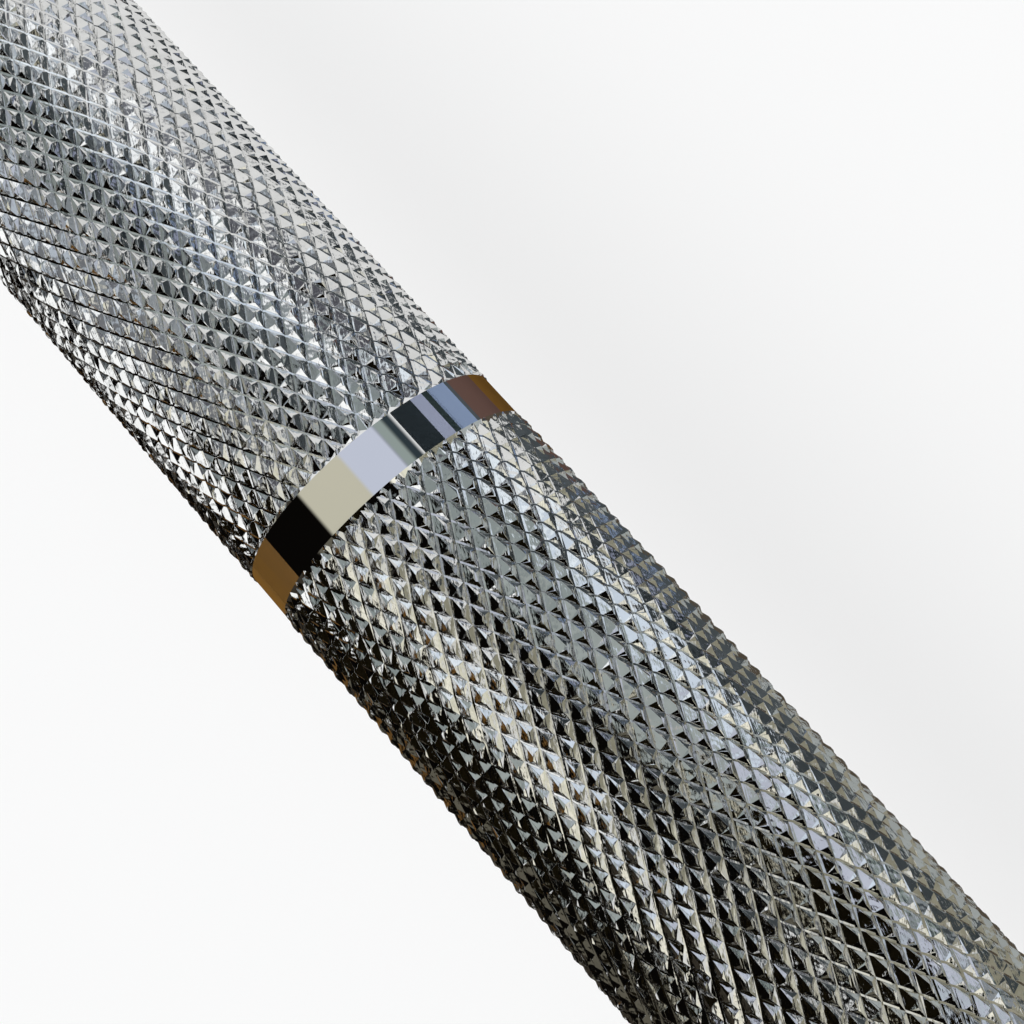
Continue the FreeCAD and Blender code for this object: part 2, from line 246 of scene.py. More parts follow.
# Cards that lean or stand between two places past the ring, from a lower to an upper edge, given as (y, z).
FRONT_FOOT = (-170.0, FLOOR_Z)
FRONT_HEAD = (-260.0, 128.0)
REAR_Y = 140.0
REAR_HEAD = (REAR_Y, 50.0)
RING_REAR_Y = 139.0
RING_SPAN = (-46.0, -28.0)
NAVY_FOOT = (RING_REAR_Y, 5.6)
LAVENDER_FOOT = (RING_REAR_Y, -20.3)
PINE_FOOT = (RING_REAR_Y, -34.0)
LEANING_CARDS = (
    ("front_timber", TIMBER, (-115.0, -30.0), FRONT_FOOT, FRONT_HEAD),
    ("front_dusk_far", DUSK, (-1500.0, -115.0), FRONT_FOOT, FRONT_HEAD),
    ("front_dusk_near", DUSK, (-30.0, 640.0), FRONT_FOOT, FRONT_HEAD),
    ("rear_slate", SLATE, (-75.0, 55.0), (REAR_Y, -12.0), REAR_HEAD),
    ("rear_linen", LINEN, (55.0, 320.0), (REAR_Y, UPPER_Z), REAR_HEAD),
    ("ring_navy", NAVY, RING_SPAN, NAVY_FOOT, (RING_REAR_Y, 52.0)),
    ("ring_lavender", LAVENDER, RING_SPAN, LAVENDER_FOOT, NAVY_FOOT),
    ("ring_pine", PINE, RING_SPAN, PINE_FOOT, LAVENDER_FOOT),
    ("ring_blue_foot", BLUE, RING_SPAN, (RING_REAR_Y, UPPER_Z), PINE_FOOT),
)

# Cards that lie, given as corners (past ring, y).
SLATE_OUTLINE = ((-18, 30), (20, 30), (10, 600), (-220, 600), (-220, 130), (-70, 90), (-40, 62))
RUSSET_OUTLINE = ((-6, 29), (-19, 29), (-19, 40), (-26, 65), (-13, 65), (-9, 40))
LYING_CARDS = (
    ("slate_lying", SLATE, LOWER_Z, SLATE_OUTLINE),
    ("ring_timber", TIMBER, UPPER_Z, ((2, 0), (-18, 0), (-19, 29), (-6, 29))),
    ("ring_russet", RUSSET, UPPER_Z, RUSSET_OUTLINE),
    ("ring_blue", BLUE, UPPER_Z, ((-26, 73), (-15, 73), (-31, 139), (-45, 139))),
    ("grip_haze", HAZE, LOWER_Z, ((20, 56), (75, 56), (75, 600), (10, 600))),
    ("edge_straw", STRAW, UPPER_Z, ((75, 56), (300, 56), (300, 139), (75, 139))),
    ("grip_umber", UMBER, UPPER_Z, ((5, -12), (130, -12), (130, 55), (5, 55))),
    ("ring_front_timber", TIMBER, UPPER_Z, ((-90, -175), (5, -175), (5, -5), (-30, -5))),
    ("grip_front_umber", UMBER, UPPER_Z, ((5, -170), (200, -170), (200, -12), (5, -12))),
)

# Soft boxes and dull walls round the shaft. Each spans some degrees about the shaft, where 0 is the way
# to the camera and positive goes to its lower left, within one of these zones of leaning along the shaft.
# A later box is laid over an earlier one.
ZONES = {
    "far": (-1.10, -0.81),
    "dim": (-0.81, -0.71),
    "lines": (-0.71, -0.56),
    "back": (-0.56, -0.345),
    "ring": (-0.335, -0.235),
    "middle": (-0.345, -0.10),
    "lens": (-0.10, 0.05),
    "over": (0.05, 0.37),
    "rise": (0.22, 0.40),
    "near": (0.37, 1.10),
    "all": (-1.10, 1.10),
}
# What shows between the boxes, and the pale haze that fills the ways that rise less than the horizon.
DARK = (0.003, 0.0025, 0.002)
PALE = (0.965, 0.97, 0.97)
HORIZON = (0.30, 0.36)
SOFT_BOXES = (
    ("far", -48.0, -24.0, (0.80, 0.84, 0.88)),
    ("far", -24.0, 12.0, (0.20, 0.21, 0.24)),
    ("far", 12.0, 40.0, (1.30, 1.34, 1.38)),
    ("far", 40.0, 62.0, (0.22, 0.25, 0.29)),
    ("dim", -48.0, -24.0, (0.80, 0.84, 0.88)),
    ("dim", -24.0, 12.0, (0.11, 0.11, 0.13)),
    ("dim", 12.0, 40.0, (0.32, 0.36, 0.38)),
    ("dim", 40.0, 62.0, (0.28, 0.31, 0.32)),
    ("lines", -66.0, -46.0, (0.20, 0.23, 0.26)),
    ("lines", -46.0, -6.0, (1.10, 1.20, 1.30)),
    ("lines", -6.0, 44.0, (0.34, 0.39, 0.39)),
    ("back", -66.0, -40.0, (0.13, 0.16, 0.19)),
    ("back", -40.0, -4.0, (0.84, 0.95, 1.10)),
    ("back", -4.0, 44.0, (0.44, 0.49, 0.48)),
    ("middle", -64.0, -33.0, (0.035, 0.05, 0.06)),
    ("middle", -33.0, -25.0, (0.34, 0.40, 0.38)),
    ("middle", -25.0, 20.0, (0.66, 0.70, 0.83)),
    ("ring", 7.0, 48.0, (0.66, 0.63, 0.50)),
    ("lens", -66.0, -24.0, (0.30, 0.33, 0.36)),
    ("lens", -24.0, 20.0, (0.62, 0.69, 0.78)),
    ("lens", 20.0, 64.0, (1.15, 1.17, 1.18)),
    ("over", -66.0, -24.0, (0.36, 0.39, 0.42)),
    ("over", -24.0, 8.0, (0.22, 0.23, 0.25)),
    ("over", 8.0, 66.0, (1.40, 1.42, 1.43)),
    ("rise", -50.0, -9.0, (0.92, 0.91, 0.83)),
    ("near", -66.0, -33.0, (0.80, 0.76, 0.58)),
    ("near", -33.0, -23.0, (0.94, 0.92, 0.74)),
    ("near", -23.0, -11.0, (1.20, 1.16, 1.00)),
    ("near", 53.0, 76.0, (0.14, 0.13, 0.10)),
    ("all", 108.0, 150.0, (0.17, 0.09, 0.03)),
)
BOX_SOFT = 4.0
ZONE_SOFT = 0.05

# The floor's half size in metres, its paper, and how much of its white is its own where it is seen.
FLOOR_HALF = 15.0
FLOOR_TONE = (0.86, 0.86, 0.86)
FLOOR_ROUGH = 0.9
FLOOR_SHINE = 0.1
FLOOR_GLOW = 0.72

# The key light: its energy, the degrees over which it spreads, and the way it comes from.
KEY_ENERGY = 1.8
KEY_SPREAD = 60.0
KEY_FROM = Vector((0.2, -0.4, 1.0))


def link(name, mesh):
    obj = bpy.data.objects.new(name, mesh)
    bpy.context.scene.collection.objects.link(obj)
    return obj


def mesh_of(name, verts, faces):
    mesh = bpy.data.meshes.new(name)
    mesh.from_pydata([tuple(v * MM) for v in np.asarray(verts, float)], [], faces)
    mesh.update()
    return mesh


def lay_out(mesh, corners):
    """The texture layout a finish is baked on."""
    layer = mesh.uv_layers.new(name="OFBake")
    layer.data.foreach_set("uv", np.asarray(corners, float).ravel())


def smooth_solid(mesh):
    """Turns the faces outward and shades them smooth between sharp edges."""
    bm = bmesh.new()
    bm.from_mesh(mesh)
    bmesh.ops.recalc_face_normals(bm, faces=bm.faces)
    bm.to_mesh(mesh)
    bm.free()
    mesh.polygons.foreach_set("use_smooth", [True] * len(mesh.polygons))
    mesh.set_sharp_from_angle(angle=math.radians(SMOOTH_UP_TO))


def lathe(name, outline, segments):
    """A closed solid turned about X. The outline is a list of (x, r) and may start and end on the axis."""
    verts = []
    rings = []
    for x, r in outline:
        if r == 0:
            rings.append([len(verts)])
            verts.append((x, 0.0, 0.0))
            continue
        ring = []
        for i in range(segments):
            turn = 2 * math.pi * i / segments
            ring.append(len(verts))
            verts.append((x, r * math.cos(turn), r * math.sin(turn)))
        rings.append(ring)
    pairs = list(zip(rings[:-1], rings[1:]))
    if outline[0][1] != 0:
        pairs.append((rings[-1], rings[0]))
    run = [0.0]
    for here, there in zip(outline, outline[1:] + outline[:1]):
        run.append(run[-1] + math.dist(here, there))
    faces = []
    layout = []
    for n, (a, b) in enumerate(pairs):
        v0 = run[n] / run[-1]
        v1 = run[n + 1] / run[-1]
        for i in range(segments):
            j = (i + 1) % segments
            u0 = i / segments
            u1 = (i + 1) / segments
            if len(a) == 1:
                faces.append((a[0], b[j], b[i]))
                layout += [(u0, v0), (u1, v1), (u0, v1)]
            elif len(b) == 1:
                faces.append((a[i], a[j], b[0]))
                layout += [(u0, v0), (u1, v0), (u0, v1)]
            else:
                faces.append((a[i], a[j], b[j], b[i]))
                layout += [(u0, v0), (u1, v0), (u1, v1), (u0, v1)]
    mesh = mesh_of(name, verts, faces)
    lay_out(mesh, layout)
    smooth_solid(mesh)
    return link(name, mesh)


def cell_points():
    """The points of a knurl cell: places across the deep and the cross grooves, and the height.

    They are the corner in the deep groove, the two ends of the cross groove's bottom, and the lips and seam
    at the ridge's two ends.
    """
    cross_start = CROSS_H * LIP_1 / LIP_1_H
    cross_end = 1.0 - CROSS_H * (1.0 - LIP_2) / LIP_2_H
    near_end = []
    far_end = []
    for place, height in ((LIP_1, LIP_1_H), (SEAM, SEAM_H), (LIP_2, LIP_2_H)):
        climb = (height - CROSS_H) / CROSS_RISE
        near_end.append((place, climb * CROSS_TOP, height))
        far_end.append((place, 1.0 - climb * (1.0 - CROSS_TOP), height))
    return [(0.0, 0.0, 0.0), (cross_start, 0.0, CROSS_H), (cross_end, 0.0, CROSS_H)] + near_end + far_end


def knurl_verts(row, start, rng):
    """The points of all cells, in the cells' order. The deep groove's corners keep their places."""
    base = np.array(cell_points())
    jig = rng.normal(size=(len(row), len(base), 3)).clip(-JITTER_LIMIT, JITTER_LIMIT)
    jig[:, :, :2] *= CELL_JITTER
    jig[:, :, 2] *= HEIGHT_JITTER
    jig[:, 0, :2] = 0.0
    over_deep = start[:, None] + base[None, :, 0] + jig[:, :, 0]
    over_cross = (start + row)[:, None] + base[None, :, 1] + jig[:, :, 1]
    height = base[None, :, 2] + jig[:, :, 2]
    x = KNURL_REPEAT * (over_cross - over_deep) / 2
    turn = math.pi * (over_deep + over_cross) / KNURL_STARTS
    r = KNURL_CREST_R - LIP_2_H + height
    verts = x[..., None] * np.array(AXIS)
    verts = verts + (r * np.cos(turn))[..., None] * np.array(FACING)
    verts = verts + (r * np.sin(turn))[..., None] * np.array(ACROSS)
    return verts.reshape(-1, 3)


def knurl_faces(row, start):
    """The polygons of all cells, which share the points on their common groove lines, and their finishes."""
    per_cell = len(cell_points())

    def cell(over_deep, over_cross):
        """First points of the cells so many grooves further on, and whether there are such cells."""
        there = row + over_cross - over_deep
        index = (there - row[0]) * KNURL_STARTS + (start + over_deep) % KNURL_STARTS
        return index * per_cell, (there >= row[0]) & (there <= row[-1])

    here, _ = cell(0, 0)
    up, up_in = cell(0, 1)
    side, side_in = cell(1, 0)
    both, both_in = cell(1, 1)
    inside = up_in & side_in & both_in
    h = here[inside]
    u = up[inside]
    s = side[inside]
    b = both[inside]
    # Two polygons on each deep wall, two on the torn ridge, and the two cross walls.
    patterns = [
        (h + 0, h + 1, u + 1, u + 0),
        (h + 1, h + 3, h + 6, u + 1),
        (h + 5, h + 2, u + 2, h + 8),
        (h + 2, s + 0, b + 0, u + 2),
        (h + 3, h + 4, h + 7, h + 6),
        (h + 4, h + 5, h + 8, h + 7),
        (h + 1, h + 2, h + 5, h + 4, h + 3),
        (u + 1, h + 6, h + 7, h + 8, u + 2),
    ]
    faces = []
    finishes = []
    for pattern, finish in zip(patterns, KNURL_FINISH):
        polygons = np.stack(pattern, axis=1).tolist()
        faces.extend(polygons)
        finishes.extend([finish] * len(polygons))
    return faces, finishes


def cut_square(mesh, x0, x1):
    """Cuts a knurled tube off at both ends, slopes its crests to the plain shaft there, and closes it."""
    bm = bmesh.new()
    bm.from_mesh(mesh)
    for end, way in ((x0, -AXIS), (x1, AXIS)):
        geometry = bm.verts[:] + bm.edges[:] + bm.faces[:]
        bmesh.ops.bisect_plane(bm, geom=geometry, plane_co=AXIS * end, plane_no=way, clear_outer=True)
    loose = [v for v in bm.verts if not v.link_faces]
    bmesh.ops.delete(bm, geom=loose, context="VERTS")
    for v in bm.verts:
        limit = SHAFT_R * MM + min(v.co.x - x0, x1 - v.co.x)
        radius = math.hypot(v.co.y, v.co.z)
        if radius > limit:
            v.co.y *= limit / radius
            v.co.z *= limit / radius
    rims = [e for e in bm.edges if e.is_boundary]
    for end in (x0, x1):
        middle = bm.verts.new(AXIS * end)
        for e in rims:
            if all(abs(v.co.x - end) < ON_CUT for v in e.verts):
                bm.faces.new((e.verts[0], e.verts[1], middle))
    bmesh.ops.recalc_face_normals(bm, faces=bm.faces)
    bm.to_mesh(mesh)
    bm.free()


def knurl(name, x0, x1, rng):
    """A solid length of shaft whose outside is the diamond knurl, cut off square at both ends."""
    first = math.floor(2 * x0 / KNURL_REPEAT) - SPARE_CELLS
    last = math.ceil(2 * x1 / KNURL_REPEAT) + SPARE_CELLS
    row, start = np.meshgrid(np.arange(first, last + 1), np.arange(KNURL_STARTS), indexing="ij")
    row = row.ravel()
    start = start.ravel()
    verts = knurl_verts(row, start, rng)
    faces, finishes = knurl_faces(row, start)
    mesh = mesh_of(name, verts, faces)
    mesh.polygons.foreach_set("material_index", finishes)
    cut_square(mesh, x0 * MM, x1 * MM)
    lay_out(mesh, rolled_out(mesh))
    return link(name, mesh)


def rolled_out(mesh):
    """Layout corners of a shaft unrolled about X, with the faces over the seam kept whole."""
    corner = np.empty(len(mesh.loops), int)
    mesh.loops.foreach_get("vertex_index", corner)
    spots = np.empty(len(mesh.vertices) * 3)
    mesh.vertices.foreach_get("co", spots)
    spots = spots.reshape(-1, 3)[corner]
    start = np.empty(len(mesh.polygons), int)
    mesh.polygons.foreach_get("loop_start", start)
    count = np.empty(len(mesh.polygons), int)
    mesh.polygons.foreach_get("loop_total", count)
    turn = np.arctan2(spots[:, 2], spots[:, 1]) / (2 * math.pi) + 0.5
    span = np.maximum.reduceat(turn, start) - np.minimum.reduceat(turn, start)
    over_seam = np.repeat(span > 0.5, count)
    turn = np.where(over_seam & (turn < 0.5), turn + 1.0, turn)
    length = spots[:, 0] - spots[:, 0].min()
    return np.stack((turn / turn.max(), length / length.max()), axis=1)


def shader(name):
    """A new material with its node tree and its surface node."""
    mat = bpy.data.materials.new(name)
    mat.use_nodes = True
    return mat, mat.node_tree, mat.node_tree.nodes["Principled BSDF"]


def own_coords(tree):
    return tree.nodes.new("ShaderNodeTexCoord").outputs["Object"]


def calc(tree, kind, *values):
    """The result of a maths node. Floats are set on its sockets, and outputs are linked to them."""
    node = tree.nodes.new("ShaderNodeMath")
    node.operation = kind
    for n, value in enumerate(values):
        if isinstance(value, float):
            node.inputs[n].default_value = value
        else:
            tree.links.new(value, node.inputs[n])
    return node.outputs[0]


def along(tree, coords, vector):
    """How far the coordinates reach along a vector."""
    dot = tree.nodes.new("ShaderNodeVectorMath")
    dot.operation = "DOT_PRODUCT"
    dot.inputs[1].default_value = vector
    tree.links.new(coords, dot.inputs[0])
    return dot.outputs["Value"]


def gate(tree, value, full, none):
    """1 where the value has reached full, 0 where it has reached none, with a smooth step between."""
    node = tree.nodes.new("ShaderNodeMapRange")
    node.interpolation_type = "SMOOTHSTEP"
    node.inputs["From Min"].default_value = none
    node.inputs["From Max"].default_value = full
    tree.links.new(value, node.inputs["Value"])
    return node.outputs["Result"]


def noise(tree, coords, scale, detail, stretch=EVEN):
    mapping = tree.nodes.new("ShaderNodeMapping")
    mapping.inputs["Scale"].default_value = stretch
    tree.links.new(coords, mapping.inputs["Vector"])
    tex = tree.nodes.new("ShaderNodeTexNoise")
    tex.inputs["Scale"].default_value = scale
    tex.inputs["Detail"].default_value = detail
    tree.links.new(mapping.outputs["Vector"], tex.inputs["Vector"])
    return tex.outputs["Fac"]


def spread(tree, value, low, high):
    """Noise brought to a range of values."""
    ramp = tree.nodes.new("ShaderNodeMapRange")
    ramp.inputs["From Min"].default_value = NOISE_SPAN[0]
    ramp.inputs["From Max"].default_value = NOISE_SPAN[1]
    ramp.inputs["To Min"].default_value = low
    ramp.inputs["To Max"].default_value = high
    tree.links.new(value, ramp.inputs["Value"])
    return ramp.outputs["Result"]


def two_tone(tree, value, dark, light):
    """Noise as a colour between two tones."""
    ramp = tree.nodes.new("ShaderNodeValToRGB")
    for element, position, tone in zip(ramp.color_ramp.elements, NOISE_SPAN, (dark, light)):
        element.position = position
        element.color = (*tone, 1.0)
    tree.links.new(value, ramp.inputs["Fac"])
    return ramp.outputs["Color"]


def relief(tree, height, strength, depth):
    """A bump node for a height of 1 at a depth in millimetres."""
    bump = tree.nodes.new("ShaderNodeBump")
    bump.inputs["Strength"].default_value = strength
    bump.inputs["Distance"].default_value = depth * MM
    tree.links.new(height, bump.inputs["Height"])
    return bump


def metal(name, dark, light, rough, grain, bump, stretch=EVEN):
    """A metal whose colour, roughness and fine relief all follow noise in the part's own coordinates."""
    mat, tree, bsdf = shader(name)
    coords = own_coords(tree)
    clouds = noise(tree, coords, grain * CLOUD_SHARE, CLOUD_DETAIL)
    fine = noise(tree, coords, grain, FINE_DETAIL, stretch)
    bsdf.inputs["Metallic"].default_value = 1.0
    tree.links.new(two_tone(tree, clouds, dark, light), bsdf.inputs["Base Color"])
    tree.links.new(spread(tree, fine, *rough), bsdf.inputs["Roughness"])
    tree.links.new(relief(tree, fine, *bump).outputs["Normal"], bsdf.inputs["Normal"])
    return mat


def dull(name, dark, light, rough, grain):
    """A surface without metal whose colour and roughness follow noise."""
    mat, tree, bsdf = shader(name)
    fine = noise(tree, own_coords(tree), grain, FINE_DETAIL)
    tree.links.new(two_tone(tree, fine, dark, light), bsdf.inputs["Base Color"])
    tree.links.new(spread(tree, fine, *rough), bsdf.inputs["Roughness"])
    return mat


def knurl_lattice(tree, coords):
    """Places on the knurl, counted in cells across the deep grooves and across the cross grooves."""
    turn = calc(tree, "ARCTAN2", along(tree, coords, ACROSS), along(tree, coords, FACING))
    turns = calc(tree, "MULTIPLY", turn, KNURL_STARTS / (2 * math.pi))
    length = calc(tree, "MULTIPLY", along(tree, coords, AXIS), 1.0 / (KNURL_REPEAT * MM))
    return calc(tree, "SUBTRACT", turns, length), calc(tree, "ADD", turns, length)


def groove_normal(tree, coords, across_deep, across_other, line_from):
    """Normals with worn edges and, at the bottom of each cross groove, a thin line square to the radius."""
    edge = tree.nodes.new("ShaderNodeBevel")
    edge.samples = EDGE_SAMPLES
    edge.inputs["Radius"].default_value = EDGE_ROUND * MM
    outward = tree.nodes.new("ShaderNodeVectorMath")
    outward.operation = "MULTIPLY"
    outward.inputs[1].default_value = (0.0, 1.0, 1.0)
    tree.links.new(coords, outward.inputs[0])
    radial = tree.nodes.new("ShaderNodeVectorTransform")
    radial.vector_type = "NORMAL"
    radial.convert_from = "OBJECT"
    radial.convert_to = "WORLD"
    tree.links.new(outward.outputs[0], radial.inputs[0])
    from_bottom = calc(tree, "PINGPONG", across_other, 0.5)
    line = gate(tree, from_bottom, CROSS_LINE, CROSS_LINE + CROSS_LINE_SOFT)
    past_wall = calc(tree, "GREATER_THAN", calc(tree, "FRACT", across_deep), line_from)
    blend = tree.nodes.new("ShaderNodeMix")
    blend.data_type = "VECTOR"
    tree.links.new(calc(tree, "MULTIPLY", line, past_wall), blend.inputs[0])
    tree.links.new(edge.outputs["Normal"], blend.inputs[4])
    tree.links.new(radial.outputs[0], blend.inputs[5])
    return blend.outputs[1]


def knurled(name, streak, depth, line_from):
    """Chrome over a rolled facet: fine torn streaks run along one of the two groove families."""
    mat, tree, bsdf = shader(name)
    coords = own_coords(tree)
    across_deep, across_other = knurl_lattice(tree, coords)
    lattice = tree.nodes.new("ShaderNodeCombineXYZ")
    tree.links.new(across_deep, lattice.inputs[0])
    tree.links.new(across_other, lattice.inputs[1])
    streaks = noise(tree, lattice.outputs[0], STREAK_SCALE, CLOUD_DETAIL, streak)
    swell = noise(tree, lattice.outputs[0], SWELL_SCALE, SWELL_DETAIL)
    grit = noise(tree, coords, GRIT_SCALE, CLOUD_DETAIL)
    clouds = noise(tree, coords, CLOUD_SCALE, CLOUD_DETAIL)
    bsdf.inputs["Metallic"].default_value = 1.0
    tree.links.new(two_tone(tree, clouds, *KNURL_TONES), bsdf.inputs["Base Color"])
    tree.links.new(spread(tree, grit, *KNURL_ROUGH), bsdf.inputs["Roughness"])
    height = calc(tree, "MULTIPLY_ADD", grit, GRIT_SHARE, streaks)
    height = calc(tree, "MULTIPLY_ADD", swell, SWELL_SHARE, height)
    bump = relief(tree, height, 1.0, depth)
    normal = groove_normal(tree, coords, across_deep, across_other, line_from)
    tree.links.new(normal, bump.inputs["Normal"])
    tree.links.new(bump.outputs["Normal"], bsdf.inputs["Normal"])
    return mat


def knurl_finishes(grip, line_from):
    """The finishes of a knurled length, in the order of KNURL_FINISH."""
    return (
        knurled(grip + "_chrome", DEEP_STREAKS, STREAK_DEPTH, line_from),
        knurled(grip + "_ridge_chrome", TORN_STREAKS, TORN_DEPTH, line_from),
        knurled(grip + "_cross_chrome", CROSS_STREAKS, STREAK_DEPTH, line_from),
    )


def grey(tone):
    return (tone, tone, tone)


# Finishes: a dark and a light tone, the range of roughness, the grain, and the relief's strength and depth.
INNER_FINISHES = knurl_finishes("inner_grip", 0.0)
OUTER_FINISHES = knurl_finishes("outer_grip", LIP_1)
SHAFT_CHROME = metal("shaft_chrome", grey(0.66), grey(0.72), (0.04, 0.09), 900.0, (0.03, 0.01))
RING_CHROME = metal("ring_chrome", (0.74, 0.75, 0.75), grey(0.78), (0.015, 0.03), 700.0, (0.01, 0.01))
SLEEVE_CHROME = metal("sleeve_chrome", grey(0.64), grey(0.72), (0.08, 0.16), 420.0, (0.06, 0.02), TURNED)
COLLAR_CHROME = metal("collar_chrome", grey(0.64), grey(0.72), (0.07, 0.14), 380.0, (0.05, 0.02), TURNED)
CAP_STEEL = metal("cap_steel", grey(0.50), grey(0.58), (0.16, 0.28), 600.0, (0.08, 0.02))
SPRING_TONES = ((0.16, 0.16, 0.17), (0.22, 0.22, 0.23))
SPRING_STEEL = metal("spring_steel", *SPRING_TONES, (0.28, 0.42), 900.0, (0.05, 0.02))
BEARING_STEEL = metal("bearing_steel", grey(0.52), grey(0.60), (0.12, 0.22), 700.0, (0.03, 0.01))
CAGE_STEEL = metal("cage_steel", (0.40, 0.40, 0.41), (0.48, 0.48, 0.49), (0.24, 0.36), 800.0, (0.05, 0.02))
NEEDLE_STEEL = metal("needle_steel", grey(0.62), grey(0.68), (0.06, 0.12), 900.0, (0.02, 0.01))
BRONZE = metal("bronze", (0.48, 0.30, 0.13), (0.58, 0.38, 0.18), (0.26, 0.40), 500.0, (0.06, 0.02))
SEAL_RUBBER = dull("seal_rubber", grey(0.012), grey(0.03), (0.5, 0.7), 700.0)

# Finishes of the CAD nodes, by the end of their names. The shaft's is its chrome.
CAD_FINISH = {
    "shaft_seal": SEAL_RUBBER,
    "flanged_bush": BRONZE,
    "thrust_washer": BRONZE,
    "backing_washer": SPRING_STEEL,
    "shaft_retaining_ring": SPRING_STEEL,
    "cap_retaining_ring": SPRING_STEEL,
    "end_cap": CAP_STEEL,
    "collar": COLLAR_CHROME,
    "sleeve": SLEEVE_CHROME,
    "bearing_shell": BEARING_STEEL,
    "needle_cage": CAGE_STEEL,
    "needles": NEEDLE_STEEL,
}


def dress(obj, mat, body, node):
    """Gives a piece its finish, hangs it on the empty of the body it rides, and hides the CAD node it stands
    in for.
    """
    obj.data.materials.clear()
    obj.data.materials.append(mat)
    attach(obj, body)
    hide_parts(node)


def mirrored(outline, sign):
    return [(sign * x, r) for x, r in outline]


def paint_cad():
    for node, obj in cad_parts.items():
        finish = SHAFT_CHROME
        for kind, mat in CAD_FINISH.items():
            if node.endswith(kind):
                finish = mat
        obj.data.materials.clear()
        obj.data.materials.append(finish)


def plain_outline():
    return [
        (CENTRE_KNURL_X, 0),
        (CENTRE_KNURL_X, SHAFT_R),
        (GRIP_START_X, SHAFT_R),
        (GRIP_START_X, 0),
    ]


def ring_outline():
    reach, drop = RING_RUN_OUT
    return [
        (RING_START_X - reach, 0),
        (RING_START_X - reach, RING_R - drop),
        (RING_START_X, RING_R),
        (RING_END_X, RING_R),
        (RING_END_X + reach, RING_R - drop),
        (RING_END_X + reach, 0),
    ]


def journal_outline():
    return [
        (GRIP_END_X, 0),
        (GRIP_END_X, SHAFT_R),
        (SHOULDER_X, SHAFT_R),
        (SHOULDER_X, JOURNAL_R),
        (CLIP_GROOVE_X[0], JOURNAL_R),
        (CLIP_GROOVE_X[0], CLIP_GROOVE_R),
        (CLIP_GROOVE_X[1], CLIP_GROOVE_R),
        (CLIP_GROOVE_X[1], JOURNAL_R),
        (JOURNAL_END_X - JOURNAL_CHAMFER, JOURNAL_R),
        (JOURNAL_END_X, JOURNAL_R - JOURNAL_CHAMFER),
        (JOURNAL_END_X, 0),
    ]


def build_shaft():
    rng = np.random.default_rng(SEED)
    grips = [knurl("centre_knurl", -CENTRE_KNURL_X, CENTRE_KNURL_X, rng)]
    smooth = []
    rings = []
    for side, sign in SIDES.items():
        inner = sorted((sign * GRIP_START_X, sign * RING_START_X))
        outer = sorted((sign * RING_END_X, sign * GRIP_END_X))
        grips.append(knurl(side + "_inner_grip", *inner, rng))
        grips.append(knurl(side + "_outer_grip", *outer, rng))
        smooth.append(lathe(side + "_plain_shaft", mirrored(plain_outline(), sign), SHAFT_SEGMENTS))
        rings.append(lathe(side + "_mark_ring", mirrored(ring_outline(), sign), RING_SEGMENTS))
        smooth.append(lathe(side + "_journal", mirrored(journal_outline(), sign), SHAFT_SEGMENTS))
    for obj in grips:
        finishes = OUTER_FINISHES if "outer" in obj.name else INNER_FINISHES
        dress(obj, finishes[0], "shaft", "shaft")
        obj.data.materials.append(finishes[1])
        obj.data.materials.append(finishes[2])
    for obj in smooth:
        dress(obj, SHAFT_CHROME, "shaft", "shaft")
    for obj in rings:
        dress(obj, RING_CHROME, "shaft", "shaft")


def rounded(corners):
    """The outline through (x, r, rounding) corners, with a tangent arc at each rounded one."""
    outline = []
    for n, (x, r, rounding) in enumerate(corners):
        here = Vector((x, r))
        if rounding == 0:
            outline.append((x, r))
            continue
        before = (Vector(corners[n - 1][:2]) - here).normalized()
        after = (Vector(corners[(n + 1) % len(corners)][:2]) - here).normalized()
        half = before.angle(after) / 2
        centre = here + (before + after).normalized() * (rounding / math.sin(half))
        start = here + before * (rounding / math.tan(half)) - centre
        end = here + after * (rounding / math.tan(half)) - centre
        for step in range(ARC_STEPS + 1):
            spoke = start.slerp(end, step / ARC_STEPS)
            outline.append(tuple(centre + spoke.normalized() * rounding))
    return outline


def square(*points):
    """Corners that aren't rounded."""
    return [(x, r, 0.0) for x, r in points]


def sleeve_outline():
    taper_x = BAR_END_X - SLEEVE_TAPER
    corners = square(
        (SLEEVE_X, BUSH_R),
        (SLEEVE_X, SLEEVE_SEAT_R),
        (PLATE_X, SLEEVE_SEAT_R),
        (PLATE_X, SLEEVE_R),
    )
    corners.append((taper_x, SLEEVE_R, SLEEVE_ROUND))
    corners.append((BAR_END_X, SLEEVE_R - SLEEVE_TAPER_DEPTH, SLEEVE_ROUND))
    corners += square(
        (BAR_END_X, CAP_BORE_R + MOUTH),
        (BAR_END_X - MOUTH, CAP_BORE_R),
        (CAP_GROOVE_END_X, CAP_BORE_R),
        (CAP_GROOVE_END_X, CAP_GROOVE_R),
        (CAP_X[1], CAP_GROOVE_R),
        (CAP_X[1], CAP_BORE_R),
        (CAP_X[0], CAP_BORE_R),
        (CAP_X[0], BORE_R),
        (NARROW_X[1], BORE_R),
        (NARROW_X[1], NARROW_R),
        (NARROW_X[0], NARROW_R),
        (NARROW_X[0], BORE_R),
        (BUSH_X, BORE_R),
        (BUSH_X, BUSH_R),
    )
    return rounded(corners)


